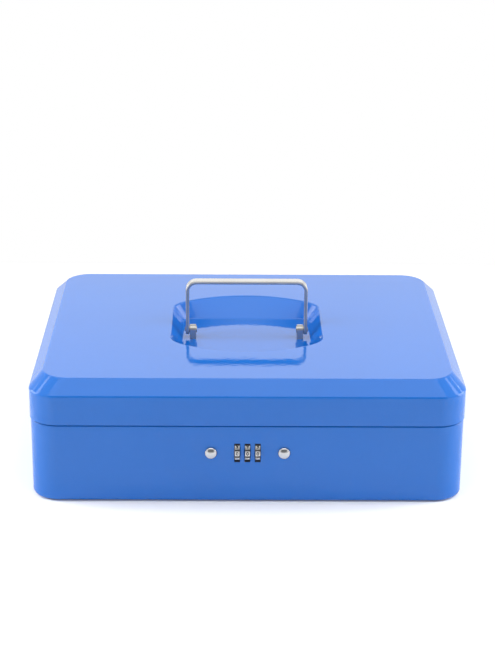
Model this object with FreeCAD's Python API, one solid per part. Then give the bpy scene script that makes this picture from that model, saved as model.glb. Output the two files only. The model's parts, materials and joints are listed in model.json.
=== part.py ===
import FreeCAD, Part
import math
import os

os.makedirs("parts", exist_ok=True)
V = FreeCAD.Vector
SAME = 1e-4

# A steel cash box with a three-dial combination lock and two push buttons.
# Millimetres. The origin is the middle of the underside, +Z is up and the front faces -Y.
# The stored pose has the lid shut, the handle upright and both buttons pressed home.

# Box and lid
lid_width = 300.0
lid_depth = 240.0
box_height = 88.0
lid_corner_radius = 20.0
top_corner_radius = 18.0
lid_sheet = 1.0
bevel_in = 9.4
bevel_drop = 9.9
skirt_bend_radius = 2.4
top_bend_radius = 1.6
rim_height = 57.2
rim_gap = 0.8
base_sheet = 1.0
base_inset = 0.6
base_edge_radius = 3.2
shoulder_radius = 0.7
neck_rise = 9.0
neck_clearance = 0.5

# Sunken dish in the lid, a barrel shape above and a rectangle below
dish_half_width = 55.2
dish_half_side = 37.6
dish_half_length = 58.9
dish_depth = 12.0
dish_floor_half_width = 47.0
dish_floor_half_length = 39.5
dish_wall_growth = 0.6
dish_lip_radius = 1.2
dish_floor_radius = 2.0

# Carrying handle and the two clips that hold it
handle_width = 89.5
handle_rise = 33.0
strip_thickness = 2.6
strip_depth = 7.4
strip_edge_radius = 0.9
handle_bend_radius = 8.0
pivot_height_in_dish = 6.5
journal_radius = 2.5
tenon_radius = 1.4
tenon_head_radius = 2.2
tenon_head_height = 0.9
clip_width = 4.6
clip_sheet = 1.2
clip_side_gap = 0.4
clip_tab_length = 3.6
slot_clearance = 0.2
journal_overhang = 0.6
running_clearance = 0.05

# Two rear hinges, welded on
hinge_from_side = 65.0
hinge_length = 48.0
hinge_pin_radius = 1.25
knuckle_radius = 2.3
knuckle_gap = 0.3
knuckle_clearance = 0.4
hinge_stand_off = 2.4
leaf_thickness = 1.0
leaf_height = 16.0
stop_nose_reach = 3.9
stop_nose_width = 1.6
lid_open_angle = 100.0
stop_margin = 6.0
pin_end_length = 0.8

# Lock: dials, buttons and latch
lock_height = 36.8
dial_pitch = 7.05
dial_radius = 8.0
dial_width = 3.3
dial_proud = 1.9
dial_count_of_digits = 10
dial_groove_radius = 0.9
dial_groove_depth = 0.45
dial_edge_radius = 0.3
slot_width = 4.0
slot_height = 13.8
axle_radius = 2.0
cam_wall_gap = 0.4
cam_gate_width = 2.2
cam_gate_depth = 1.6
side_clearance = 0.3
ear_thickness = 1.2
ear_margin = 3.6
retainer_thickness = 0.8
retainer_radius = 3.6
groove_depth = 0.5
axle_end_length = 1.2

button_spacing = 50.1
button_radius = 4.3
button_rim = 0.9
button_dome = 1.5
button_gap = 0.35
button_travel = 2.6
shank_radius = 2.2
wall_hole_clearance = 0.15

case_half_width = 38.0
case_bottom = 22.0
case_top = 50.0
case_sheet = 1.0
case_back_distance = 29.4
flange_width = 9.0
stud_radius = 1.5
stud_length = 7.0
stud_inset = 4.6
stud_hole_clearance = 0.1
nut_across_flats = 5.5
nut_thickness = 2.4

strike_distance = 10.2
strike_sheet = 1.2
strike_half_width = 32.0
strike_foot = 12.0
strike_bar_depth = 2.4
strike_bar_height = 2.0
strike_case_gap = 1.5
latch_overlap = 1.8
latch_lift_gap = 0.5
latch_nose_height = 3.0
latch_nose_reach = 2.5
latch_nose_tip = 0.9
latch_sheet = 1.5
latch_width = 8.0
latch_foot = 5.0
latch_slot_side = 1.0

spring_wire_radius = 0.35
spring_mean_radius = 3.1
spring_turns = 6
shank_tail = 3.5

detent_sheet = 0.5
detent_finger_width = 3.0
detent_base_height = 6.0
detent_reach = 4.0
cradle_height = 16.0
cradle_sheet = 1.2
cradle_rivet_radius = 1.2
cradle_rivet_head = 2.2
cradle_rivet_cap = 0.8

lever_travel = 5.0
lever_tab_width = 5.0
lever_tab_height = 2.2
lever_tab_reach = 4.5
lever_plate_margin = 2.0
lever_sheet = 1.2
lever_rise = 8.0
lever_start = 17.5
lever_clearance = 0.1

# Coin tray and its rails
tray_top = 62.0
tray_wall = 1.8
tray_rim = 2.0
tray_cup_depth = 28.0
tray_side_gap = 8.0
tray_front_gap = 7.0
tray_back_gap = 6.0
tray_corner_radius = 18.0
coin_cups = 5
coin_row_length = 74.0
note_bays = 3
cup_radius = 6.0
cup_floor_radius = 5.4
tray_margin = 7.0
rail_sheet = 1.2
rail_bearing = 4.0
rail_drop = 12.0
rail_length = 150.0
tray_seat_gap = 0.3

# Places that follow from the sizes above
base_top = rim_height - rim_gap
base_depth = lid_depth - 2 * base_inset
front_face = -base_depth / 2
front_inside = front_face + base_sheet
lid_top_inside = box_height - lid_sheet
dish_floor = box_height - dish_depth
dish_underside = dish_floor - lid_sheet
pivot_z = dish_floor + pivot_height_in_dish
leg_inside = handle_width / 2 - strip_thickness
clip_bore = journal_radius + running_clearance
clip_outside = clip_bore + clip_sheet
clip_high_x = leg_inside - clip_side_gap
clip_low_x = clip_high_x - clip_width
hinge_x = lid_width / 2 - hinge_from_side
hinge_y = lid_depth / 2 + hinge_stand_off
hinge_z = rim_height - rim_gap / 2
axle_y = front_face - dial_proud + dial_radius
axle_bore = axle_radius + running_clearance
cam_radius = axle_y - front_inside - cam_wall_gap
case_back = front_inside + case_back_distance
strike_front = front_inside + strike_distance - strike_sheet
strike_back = strike_front + strike_sheet
strike_low = case_top + strike_case_gap
strike_bar_back = strike_back + strike_bar_depth
nose_tip_y = strike_bar_back - latch_overlap + button_travel
latch_front = nose_tip_y + latch_nose_reach
latch_back = latch_front + latch_sheet
nose_low = strike_low + strike_bar_height + latch_lift_gap
spring_front = latch_back + retainer_thickness
spring_back = case_back
dial_places = {"left": -dial_pitch, "middle": 0.0, "right": dial_pitch}
button_places = {"left": -button_spacing / 2, "right": button_spacing / 2}


def box(x0, x1, y0, y1, z0, z1):
    """A block between two corners."""
    return Part.makeBox(x1 - x0, y1 - y0, z1 - z0, V(x0, y0, z0))


def rod_x(radius, x0, x1, y, z):
    """A round bar along X."""
    return Part.makeCylinder(radius, x1 - x0, V(x0, y, z), V(1, 0, 0))


def rod_y(radius, y0, y1, x, z):
    """A round bar along Y."""
    return Part.makeCylinder(radius, y1 - y0, V(x, y0, z), V(0, 1, 0))


def ring_y(outer, inner, y0, y1, x, z):
    """A plain ring round an axis along Y."""
    return rod_y(outer, y0, y1, x, z).cut(rod_y(inner, y0, y1, x, z))


def ring_x(outer, inner, x0, x1, y, z):
    """A plain ring round an axis along X."""
    return rod_x(outer, x0, x1, y, z).cut(rod_x(inner, x0, x1, y, z))


def rounded_wire(x0, x1, y0, y1, radius, z):
    """A rectangle with round corners, level at height z."""
    edges = []
    slant = radius * (1 - math.sqrt(0.5))
    corners = [(x1, y0, -1, 1), (x1, y1, -1, -1), (x0, y1, 1, -1), (x0, y0, 1, 1)]
    starts = []
    for index, (x, y, sx, sy) in enumerate(corners):
        along_x = V(x + sx * radius, y, z)
        along_y = V(x, y + sy * radius, z)
        middle = V(x + sx * slant, y + sy * slant, z)
        first, last = (along_x, along_y) if index % 2 == 0 else (along_y, along_x)
        starts.append((first, middle, last))
    for index, (first, middle, last) in enumerate(starts):
        previous = starts[index - 1][2]
        edges.append(Part.LineSegment(previous, first).toShape())
        edges.append(Part.Arc(first, middle, last).toShape())
    return Part.Wire(edges)


def rounded_block(x0, x1, y0, y1, radius, z0, z1):
    """A block with round upright corners."""
    return Part.Face(rounded_wire(x0, x1, y0, y1, radius, z0)).extrude(V(0, 0, z1 - z0))


def level(edge, z):
    """Whether an edge lies wholly at one height."""
    return abs(edge.BoundBox.ZMin - z) < SAME and abs(edge.BoundBox.ZMax - z) < SAME


def level_edges(shape, z):
    """The edges of a shape that lie wholly at one height."""
    return [edge for edge in shape.Edges if level(edge, z)]


def one_solid(shape):
    """The single solid of a finished shape, with its seams cleaned."""
    shape = shape.removeSplitter()
    assert len(shape.Solids) == 1, "a piece fell apart"
    return shape.Solids[0]


def save(name, shape):
    """Writes one sub-part."""
    assert shape.isValid(), name
    shape.exportStep("parts/" + name + ".step")


def lid_outline(inset, z):
    """The lid's outline, drawn in from its outside."""
    x = lid_width / 2 - inset
    y = lid_depth / 2 - inset
    return rounded_wire(-x, x, -y, y, lid_corner_radius - inset, z)


def top_outline(inset, z):
    """The flat top's outline, drawn in from the lid's outside, with a corner radius of its own."""
    x = lid_width / 2 - inset
    y = lid_depth / 2 - inset
    return rounded_wire(-x, x, -y, y, top_corner_radius + bevel_in - inset, z)


def lid_prism(inset, z0, z1):
    """An upright block with the lid's outline, drawn in from its outside."""
    return Part.Face(lid_outline(inset, z0)).extrude(V(0, 0, z1 - z0))


def bevelled_block(inset, z0, z1, run, drop):
    """The lid's outside or inside: straight skirt, slanted bevel, flat top."""
    skirt = lid_prism(inset, z0, z1 - drop)
    bevel = Part.makeLoft([lid_outline(inset, z1 - drop), top_outline(inset + run, z1)], True, True)
    return skirt.fuse(bevel).removeSplitter()


def dish(growth, floor_growth, floor_z):
    """The sunken dish: barrel outline at the lid's top, rectangle at its floor."""
    wide = dish_half_width + growth
    side = dish_half_side + growth
    long = dish_half_length + growth
    z = box_height
    right_front, right_back = V(wide, -side, z), V(wide, side, z)
    left_back, left_front = V(-wide, side, z), V(-wide, -side, z)
    top = Part.Wire([
        Part.Arc(left_front, V(0, -long, z), right_front).toShape(),
        Part.LineSegment(right_front, right_back).toShape(),
        Part.Arc(right_back, V(0, long, z), left_back).toShape(),
        Part.LineSegment(left_back, left_front).toShape(),
    ])
    x = dish_floor_half_width + floor_growth
    y = dish_floor_half_length + floor_growth
    corners = [V(-x, -y, floor_z), V(x, -y, floor_z), V(x, y, floor_z), V(-x, y, floor_z)]
    floor = Part.Wire([
        Part.LineSegment(corners[i], corners[(i + 1) % 4]).toShape() for i in range(4)
    ])
    return Part.makeLoft([top, floor], True, True)


def lid_shell():
    """Pressed lid with its bevel, its dish and the slots for the handle clips."""
    outside = bevelled_block(0, rim_height, box_height, bevel_in, bevel_drop)
    outside = outside.makeFillet(skirt_bend_radius, level_edges(outside, box_height - bevel_drop))
    outside = outside.makeFillet(top_bend_radius, level_edges(outside, box_height))
    share = 2 - math.sqrt(2)
    inside = bevelled_block(
        lid_sheet, rim_height, lid_top_inside, bevel_in - share * lid_sheet, bevel_drop - share * lid_sheet
    )
    hollow = dish(0, 0, dish_floor)
    hollow = hollow.makeFillet(dish_floor_radius, level_edges(hollow, dish_floor))
    shell = outside.cut(inside)
    shell = shell.fuse(dish(lid_sheet, dish_wall_growth * lid_sheet, dish_underside)).cut(hollow)
    lip = [e for e in level_edges(shell, box_height) if e.BoundBox.YMax < dish_half_length + SAME
           and e.BoundBox.YMin > -dish_half_length - SAME and e.BoundBox.XLength < 2 * dish_half_width + SAME]
    shell = shell.makeFillet(dish_lip_radius, lip)
    for side in (-1, 1):
        for way in (-1, 1):
            xs = sorted((side * (clip_low_x - slot_clearance), side * (clip_high_x + slot_clearance)))
            ys = sorted((way * (clip_bore - slot_clearance), way * (clip_outside + slot_clearance)))
            shell = shell.cut(box(xs[0], xs[1], ys[0], ys[1], dish_underside, dish_floor))
    return one_solid(shell)


def base_shell():
    """Drawn steel tub with a joggled neck that the lid closes over."""
    wall = lid_prism(base_inset, 0, base_top)
    wall = wall.makeFillet(base_edge_radius, level_edges(wall, 0))
    wall = wall.makeFillet(shoulder_radius, level_edges(wall, base_top))
    neck_inset = lid_sheet + neck_clearance
    neck_top = rim_height + neck_rise
    neck_bottom = base_top - base_sheet
    neck = lid_prism(neck_inset, neck_bottom, neck_top)
    room = lid_prism(base_inset + base_sheet, base_sheet, neck_bottom)
    room = room.makeFillet(base_edge_radius - base_sheet, level_edges(room, base_sheet))
    mouth = lid_prism(neck_inset + base_sheet, neck_bottom, neck_top)
    shell = wall.fuse(neck).cut(room).cut(mouth)
    for x in dial_places.values():
        low = lock_height - slot_height / 2
        shell = shell.cut(
            box(x - slot_width / 2, x + slot_width / 2, front_face, front_inside, low, low + slot_height)
        )
    for x in button_places.values():
        shell = shell.cut(rod_y(shank_radius + wall_hole_clearance, front_face, front_inside, x, lock_height))
    return one_solid(shell)


def handle_bail():
    """Flat steel strip bent to a bow, with an eye near the end of each leg."""
    half = handle_width / 2
    bend = handle_bend_radius
    inner_bend = bend - strip_thickness
    slant = math.sqrt(0.5)
    top = box_height + handle_rise
    y = -strip_depth / 2

    def bow(reach, height, radius):
        centre_x = half - bend
        centre_z = top - bend
        left = V(-centre_x - radius * slant, y, centre_z + radius * slant)
        right = V(centre_x + radius * slant, y, centre_z + radius * slant)
        return [
            Part.LineSegment(V(-reach, y, pivot_z), V(-reach, y, centre_z)).toShape(),
            Part.Arc(V(-reach, y, centre_z), left, V(-centre_x, y, height)).toShape(),
            Part.LineSegment(V(-centre_x, y, height), V(centre_x, y, height)).toShape(),
            Part.Arc(V(centre_x, y, height), right, V(reach, y, centre_z)).toShape(),
            Part.LineSegment(V(reach, y, centre_z), V(reach, y, pivot_z)).toShape(),
        ]

    outer = bow(half, top, bend)
    inner = bow(leg_inside, top - strip_thickness, inner_bend)
    right_foot = Part.LineSegment(V(half, y, pivot_z), V(leg_inside, y, pivot_z)).toShape()
    left_foot = Part.LineSegment(V(-leg_inside, y, pivot_z), V(-half, y, pivot_z)).toShape()
    wire = Part.Wire(Part.__sortEdges__(outer + [right_foot] + inner + [left_foot]))
    strip = Part.Face(wire).extrude(V(0, strip_depth, 0))
    long_edges = [e for e in strip.Edges if e.BoundBox.YLength < SAME and not level(e, pivot_z)]
    strip = strip.makeFillet(strip_edge_radius, long_edges)
    for side in (-1, 1):
        x0, x1 = sorted((side * leg_inside, side * half))
        strip = strip.fuse(rod_x(strip_depth / 2, x0, x1, 0, pivot_z))
    for side in (-1, 1):
        x0, x1 = sorted((side * leg_inside, side * half))
        strip = strip.cut(rod_x(tenon_radius, x0, x1, 0, pivot_z))
    return one_solid(strip)


def handle_pivot_pin(side):
    """Shouldered pin: a journal in the clip, a tenon through the leg, a round head outside."""
    half = handle_width / 2
    journal_end = clip_low_x - journal_overhang
    x0, x1 = sorted((side * journal_end, side * leg_inside))
    pin = rod_x(journal_radius, x0, x1, 0, pivot_z)
    x0, x1 = sorted((side * leg_inside, side * half))
    pin = pin.fuse(rod_x(tenon_radius, x0, x1, 0, pivot_z))
    ball = (tenon_head_radius ** 2 + tenon_head_height ** 2) / (2 * tenon_head_height)
    head = Part.makeSphere(ball, V(side * (half + tenon_head_height - ball), 0, pivot_z))
    x0, x1 = sorted((side * half, side * (half + tenon_head_height)))
    return one_solid(pin.fuse(head.common(rod_x(ball, x0, x1, 0, pivot_z))))


def handle_clip(side):
    """Steel strap over the handle's journal, its legs through the dish floor and clenched below."""
    x0, x1 = sorted((side * clip_low_x, side * clip_high_x))
    low = dish_underside - clip_sheet
    strap = rod_x(clip_outside, x0, x1, 0, pivot_z)
    strap = strap.fuse(box(x0, x1, -clip_outside, clip_outside, low, pivot_z))
    strap = strap.cut(rod_x(clip_bore, x0, x1, 0, pivot_z))
    strap = strap.cut(box(x0, x1, -clip_bore, clip_bore, low, pivot_z))
    for way in (-1, 1):
        y0, y1 = sorted((way * clip_bore, way * (clip_outside + clip_tab_length)))
        strap = strap.fuse(box(x0, x1, y0, y1, low, dish_underside))
    return one_solid(strap)


def knuckle_spans():
    """The three knuckles of a hinge along X, from its own middle."""
    third = hinge_length / 3
    return [
        (-hinge_length / 2, -third / 2 - knuckle_gap / 2),
        (-third / 2 + knuckle_gap / 2, third / 2 - knuckle_gap / 2),
        (third / 2 + knuckle_gap / 2, hinge_length / 2),
    ]


def hinge_base_leaf(x):
    """Lower leaf, welded to the tub's back, with the two outer knuckles."""
    first, _, last = knuckle_spans()
    y0 = base_depth / 2
    y1 = y0 + leaf_thickness
    notch = hinge_z - knuckle_radius - knuckle_clearance
    leaf = box(x + first[0], x + last[1], y0, y1, notch - leaf_height, notch)
    for low, high in (first, last):
        leaf = leaf.fuse(rod_x(knuckle_radius, x + low, x + high, hinge_y, hinge_z))
        leaf = leaf.fuse(box(x + low, x + high, y0, y1, notch, hinge_z))
        leaf = leaf.cut(rod_x(hinge_pin_radius + running_clearance, x + low, x + high, hinge_y, hinge_z))
    return one_solid(leaf)


def hinge_lid_leaf(x):
    """Upper leaf, welded to the lid's back, with the middle knuckle and its stop nose."""
    first, middle, last = knuckle_spans()
    y0 = lid_depth / 2
    y1 = y0 + leaf_thickness
    notch = hinge_z + knuckle_radius + knuckle_clearance
    leaf = box(x + first[0], x + last[1], y0, y1, notch, notch + leaf_height)
    low, high = x + middle[0], x + middle[1]
    leaf = leaf.fuse(box(low, high, y0, y1, rim_height, notch))
    leaf = leaf.fuse(rod_x(knuckle_radius, low, high, hinge_y, hinge_z))
    leaf = leaf.fuse(stop_nose(low, high))
    leaf = leaf.cut(rod_x(hinge_pin_radius + running_clearance, low, high, hinge_y, hinge_z))
    return one_solid(leaf)


def stop_nose(low, high):
    """A nose on the middle knuckle that meets the lower leaf when the lid is fully open."""
    leaf_back = base_depth / 2 + leaf_thickness - hinge_y
    notch = -knuckle_radius - knuckle_clearance
    seat_angle = math.degrees(math.atan2(notch, leaf_back))
    half_angle = math.degrees(math.asin(stop_nose_width / 2 / math.hypot(notch, leaf_back)))
    nose = box(
        low, high, hinge_y + hinge_pin_radius, hinge_y + stop_nose_reach,
        hinge_z - stop_nose_width / 2, hinge_z + stop_nose_width / 2,
    )
    nose.rotate(V(0, hinge_y, hinge_z), V(1, 0, 0), seat_angle + lid_open_angle + half_angle + stop_margin)
    return nose


def hinge_pin(x):
    """Plain steel pin through all three knuckles."""
    reach = hinge_length / 2 + pin_end_length
    return rod_x(hinge_pin_radius, x - reach, x + reach, hinge_y, hinge_z)


def dial(x):
    """Number wheel: ten faces parted by shallow grooves."""
    half = dial_width / 2
    wheel = rod_x(dial_radius, x - half, x + half, axle_y, lock_height)
    wheel = wheel.makeFillet(dial_edge_radius, wheel.Edges)
    step = 2 * math.pi / dial_count_of_digits
    centre = dial_radius - dial_groove_depth + dial_groove_radius
    for index in range(dial_count_of_digits):
        angle = step * (index + 0.5)
        y = axle_y - centre * math.cos(angle)
        z = lock_height + centre * math.sin(angle)
        wheel = wheel.cut(rod_x(dial_groove_radius, x - half, x + half, y, z))
    return one_solid(wheel.cut(rod_x(axle_bore, x - half, x + half, axle_y, lock_height)))


def cam(x):
    """Gate disc on the right side of a number wheel, with its gate upwards at zero."""
    x0 = x + dial_width / 2
    x1 = x + dial_pitch - dial_width / 2 - side_clearance
    disc = ring_x(cam_radius, axle_bore, x0, x1, axle_y, lock_height)
    top = lock_height + cam_radius
    gate = box(x0, x1, axle_y - cam_gate_width / 2, axle_y + cam_gate_width / 2, top - cam_gate_depth, top)
    return one_solid(disc.cut(gate))


def ear_places():
    """The inner faces of the cradle's two ears."""
    left = dial_places["left"] - dial_width / 2 - side_clearance
    right = dial_places["right"] + dial_pitch - dial_width / 2
    return left, right


def dial_cradle():
    """Bent bracket whose two ears carry the dial axle."""
    left, right = ear_places()
    low = lock_height - cradle_height / 2
    high = lock_height + cradle_height / 2
    back = case_back - cradle_sheet
    front = axle_y - ear_margin
    bracket = box(left - ear_thickness, right + ear_thickness, back, case_back, low, high)
    for x0 in (left - ear_thickness, right):
        ear = box(x0, x0 + ear_thickness, front, back, lock_height - ear_margin, lock_height + ear_margin)
        bracket = bracket.fuse(ear)
        bracket = bracket.cut(rod_x(axle_bore, x0, x0 + ear_thickness, axle_y, lock_height))
    for x in rivet_places():
        bracket = bracket.cut(rod_y(cradle_rivet_radius, back, case_back, x, lock_height))
    return one_solid(bracket)


def rivet_places():
    """The two rivets that hold the cradle, just inside its ears."""
    left, right = ear_places()
    return left + ear_margin, right - ear_margin


def cradle_rivets():
    """Two round-headed rivets through the cradle and the case's back."""
    rivets = []
    front = case_back - cradle_sheet
    back = case_back + case_sheet
    for x in rivet_places():
        rivet = rod_y(cradle_rivet_radius, front, back, x, lock_height)
        rivet = rivet.fuse(rod_y(cradle_rivet_head, front - cradle_rivet_cap, front, x, lock_height))
        rivet = rivet.fuse(rod_y(cradle_rivet_head, back, back + cradle_rivet_cap, x, lock_height))
        rivets.append(one_solid(rivet))
    return Part.makeCompound(rivets)


def axle_groove_places():
    """Where the two retaining rings sit on the axle, against the outside of the ears."""
    left, right = ear_places()
    return left - ear_thickness - retainer_thickness, right + ear_thickness


def dial_axle():
    """Axle of the three dials, grooved for a retaining ring at each end."""
    left, right = axle_groove_places()
    end = right + retainer_thickness + axle_end_length
    axle = rod_x(axle_radius, left - axle_end_length, end, axle_y, lock_height)
    for x0 in (left, right):
        x1 = x0 + retainer_thickness
        axle = axle.cut(ring_x(axle_radius, axle_radius - groove_depth, x0, x1, axle_y, lock_height))
    return one_solid(axle)


def axle_rings():
    """The two retaining rings of the axle."""
    inner = axle_radius - groove_depth
    return Part.makeCompound([
        ring_x(retainer_radius, inner, x0, x0 + retainer_thickness, axle_y, lock_height)
        for x0 in axle_groove_places()
    ])


def detent_spring():
    """Leaf spring on the cradle whose three fingers press under the dials."""
    left, right = ear_places()
    back = case_back - cradle_sheet
    high = lock_height - dial_radius - side_clearance
    low = high - detent_sheet
    leaf = box(left, right, back - detent_sheet, back, low, low + detent_base_height)
    for x in dial_places.values():
        half = detent_finger_width / 2
        leaf = leaf.fuse(box(x - half, x + half, axle_y - detent_reach, back, low, high))
    return one_solid(leaf)


def lock_case():
    """Folded steel case behind the front wall, with two flanges bolted to the wall."""
    half = case_half_width
    case_rear = case_back + case_sheet
    outer = box(-half, half, front_inside, case_rear, case_bottom, case_top)
    half = case_half_width - case_sheet
    inner = box(-half, half, front_inside, case_back, case_bottom + case_sheet, case_top - case_sheet)
    case = outer.cut(inner)
    for side in (-1, 1):
        x0, x1 = sorted((side * case_half_width, side * (case_half_width + flange_width)))
        case = case.fuse(box(x0, x1, front_inside, front_inside + case_sheet, case_bottom, case_top))
    for x, z in stud_places():
        hole = rod_y(stud_radius + stud_hole_clearance, front_inside, front_inside + case_sheet, x, z)
        case = case.cut(hole)
    for x in button_places.values():
        half = latch_width / 2 + latch_slot_side
        case = case.cut(
            box(x - half, x + half, nose_tip_y - button_travel - latch_slot_side,
                latch_back + latch_slot_side, case_top - case_sheet, case_top)
        )
        case = case.cut(rod_y(shank_radius + running_clearance, case_back, case_rear, x, lock_height))
    for x in rivet_places():
        case = case.cut(rod_y(cradle_rivet_radius, case_back, case_rear, x, lock_height))
    z = lock_height + lever_rise
    half = lever_tab_height / 2 + lever_clearance
    case = case.cut(
        box(lever_start - lever_clearance, lever_start + lever_tab_width + lever_travel + lever_clearance,
            case_back, case_rear, z - half, z + half)
    )
    return one_solid(case)


def stud_places():
    """The four weld studs of the case's flanges."""
    x = case_half_width + flange_width - stud_inset
    return [(side * x, z) for side in (-1, 1) for z in (case_bottom + stud_inset, case_top - stud_inset)]


def lock_studs():
    """Weld studs on the inside of the front wall."""
    return Part.makeCompound([
        rod_y(stud_radius, front_inside, front_inside + stud_length, x, z) for x, z in stud_places()
    ])


def lock_nuts():
    """Hexagon nuts on the weld studs."""
    nuts = []
    reach = nut_across_flats / math.sqrt(3)
    y = front_inside + case_sheet
    for x, z in stud_places():
        corners = [math.radians(60 * k) for k in range(7)]
        points = [V(x + reach * math.cos(a), y, z + reach * math.sin(a)) for a in corners]
        nut = Part.Face(Part.makePolygon(points)).extrude(V(0, nut_thickness, 0))
        nuts.append(one_solid(nut.cut(rod_y(stud_radius, y, y + nut_thickness, x, z))))
    return Part.makeCompound(nuts)


def button_groove_places():
    """Front faces of the two retaining rings that trap the latch hook on the shank."""
    return latch_front - retainer_thickness, latch_back


def button(x):
    """Turned push button: domed cap, long shank, two ring grooves."""
    cap_back = front_face - button_gap
    rim_front = cap_back - button_rim
    apex = rim_front - button_dome
    shank_end = case_back + case_sheet + shank_tail
    ball = (button_radius ** 2 + button_dome ** 2) / (2 * button_dome)
    lean = math.asin(button_radius / ball) / 2
    half_way = V(x + ball * math.sin(lean), apex + ball * (1 - math.cos(lean)), lock_height)
    corners = [
        V(x + button_radius, rim_front, lock_height), V(x + button_radius, cap_back, lock_height),
        V(x + shank_radius, cap_back, lock_height), V(x + shank_radius, shank_end, lock_height),
        V(x, shank_end, lock_height), V(x, apex, lock_height),
    ]
    outline = [Part.Arc(corners[-1], half_way, corners[0]).toShape()]
    outline += [Part.LineSegment(a, b).toShape() for a, b in zip(corners, corners[1:])]
    piece = Part.Face(Part.Wire(outline)).revolve(V(x, 0, lock_height), V(0, 1, 0), 360)
    for y0 in button_groove_places():
        y1 = y0 + retainer_thickness
        piece = piece.cut(ring_y(shank_radius, shank_radius - groove_depth, y0, y1, x, lock_height))
    return one_solid(piece)


def button_rings(x):
    """The two retaining rings on one button's shank."""
    inner = shank_radius - groove_depth
    return Part.makeCompound([
        ring_y(retainer_radius, inner, y0, y0 + retainer_thickness, x, lock_height)
        for y0 in button_groove_places()
    ])


def latch_hook(x):
    """Upright arm on the button's shank with a ramped nose that catches the strike bar."""
    half = latch_width / 2
    nose_high = nose_low + latch_nose_height
    arm = box(x - half, x + half, latch_front, latch_back, lock_height - latch_foot, nose_high)
    profile = [
        V(x - half, latch_back, nose_low), V(x - half, nose_tip_y, nose_low),
        V(x - half, nose_tip_y, nose_low + latch_nose_tip), V(x - half, latch_front, nose_high),
        V(x - half, latch_back, nose_high), V(x - half, latch_back, nose_low),
    ]
    nose = Part.Face(Part.makePolygon(profile)).extrude(V(latch_width, 0, 0))
    hook = arm.fuse(nose)
    return one_solid(hook.cut(rod_y(shank_radius, latch_front, latch_back, x, lock_height)))


def helix_point(x, start, pitch, angle):
    """A point of a spring wound round an axis along Y, and its direction there."""
    r = spring_mean_radius
    rise = pitch / (2 * math.pi)
    place = V(x + r * math.cos(angle), start + rise * angle, lock_height + r * math.sin(angle))
    heading = V(-r * math.sin(angle), rise, r * math.cos(angle))
    return place, heading.normalize()


def arc_from_corner(first, corner, last):
    """The arc that is tangent to two equal legs which meet at a corner."""
    cosine = (last - first).Length / 2 / (corner - first).Length
    middle = (first + last + corner * (2 * cosine)) * (1 / (2 * (1 + cosine)))
    return Part.Arc(first, middle, last).toShape()


def button_spring(x):
    """Coil spring between a latch hook's rear ring and the case's back, one unbroken wire."""
    start = spring_front + spring_wire_radius
    pitch = (spring_back - spring_front - 2 * spring_wire_radius) / spring_turns
    quarter = math.pi / 2
    edges = []
    for index in range(4 * spring_turns):
        p0, t0 = helix_point(x, start, pitch, quarter * index)
        p1, t1 = helix_point(x, start, pitch, quarter * (index + 1))
        chord = p1 - p0
        a = 2 * (t0.dot(t1) - 1)
        b = -2 * chord.dot(t0 + t1)
        c = chord.dot(chord)
        leg = (-b - math.sqrt(b * b - 4 * a * c)) / (2 * a)
        corner0 = p0 + t0 * leg
        corner1 = p1 - t1 * leg
        joint = (corner0 + corner1) * 0.5
        edges.append(arc_from_corner(p0, corner0, joint))
        edges.append(arc_from_corner(joint, corner1, p1))
    path = Part.Wire(edges)
    place, heading = helix_point(x, start, pitch, 0)
    section = Part.Wire(Part.makeCircle(spring_wire_radius, place, heading))
    spring = path.makePipeShell([section], True, False)
    return spring if spring.ShapeType == "Solid" else Part.Solid(spring)


def spring_gap():
    """Least clear distance between neighbouring turns, measured on points of the wire."""
    pitch = (spring_back - spring_front - 2 * spring_wire_radius) / spring_turns
    steps = 48
    step = 2 * math.pi / steps
    places = [helix_point(0, 0, pitch, step * k)[0] for k in range(steps * spring_turns + 1)]
    least = min(
        (places[i] - places[k]).Length
        for i in range(len(places)) for k in range(i + steps // 2, len(places))
    )
    return least - 2 * spring_wire_radius


def strike_plate():
    """Bent plate that hangs from the lid in front of the latch hooks."""
    plate = box(-strike_half_width, strike_half_width, strike_front, strike_back, strike_low, lid_top_inside)
    foot = box(
        -strike_half_width, strike_half_width, strike_back, strike_back + strike_foot,
        lid_top_inside - strike_sheet, lid_top_inside,
    )
    return one_solid(plate.fuse(foot))


def strike_bar():
    """Square bar welded along the strike plate's lower edge."""
    return box(
        -strike_half_width, strike_half_width, strike_back, strike_bar_back,
        strike_low, strike_low + strike_bar_height,
    )


def code_lever():
    """Code-change slide: a plate inside the case with a thumb tab through its back."""
    z = lock_height + lever_rise
    half = lever_tab_height / 2
    plate = box(
        lever_start - lever_plate_margin, lever_start + lever_tab_width + lever_plate_margin,
        case_back - lever_clearance - lever_sheet, case_back - lever_clearance,
        z - half - lever_plate_margin, z + half + lever_plate_margin,
    )
    tab_end = case_back + case_sheet + lever_tab_reach
    tab = box(
        lever_start, lever_start + lever_tab_width, case_back - lever_clearance, tab_end, z - half, z + half
    )
    return one_solid(plate.fuse(tab))


def tray_limits():
    """The coin tray's outline, inside the neck and behind the lock case."""
    inset = lid_sheet + neck_clearance + base_sheet
    half = lid_width / 2 - inset - tray_side_gap
    front = case_back + case_sheet + tray_front_gap
    back = lid_depth / 2 - inset - tray_back_gap
    return half, front, back


def cup_row(count, front, back):
    """The inside limits of a row of equal cups across the tray."""
    half, _, _ = tray_limits()
    room = 2 * (half - tray_margin)
    wide = (room - (count - 1) * tray_wall) / count
    starts = [tray_margin - half + k * (wide + tray_wall) for k in range(count)]
    return [(start, start + wide, front, back) for start in starts]


def tray_cups():
    """All the cups: coins in front, notes behind."""
    _, front, back = tray_limits()
    first = front + tray_margin
    split = first + coin_row_length
    coins = cup_row(coin_cups, first, split)
    notes = cup_row(note_bays, split + tray_wall, back - tray_margin)
    return coins + notes


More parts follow.
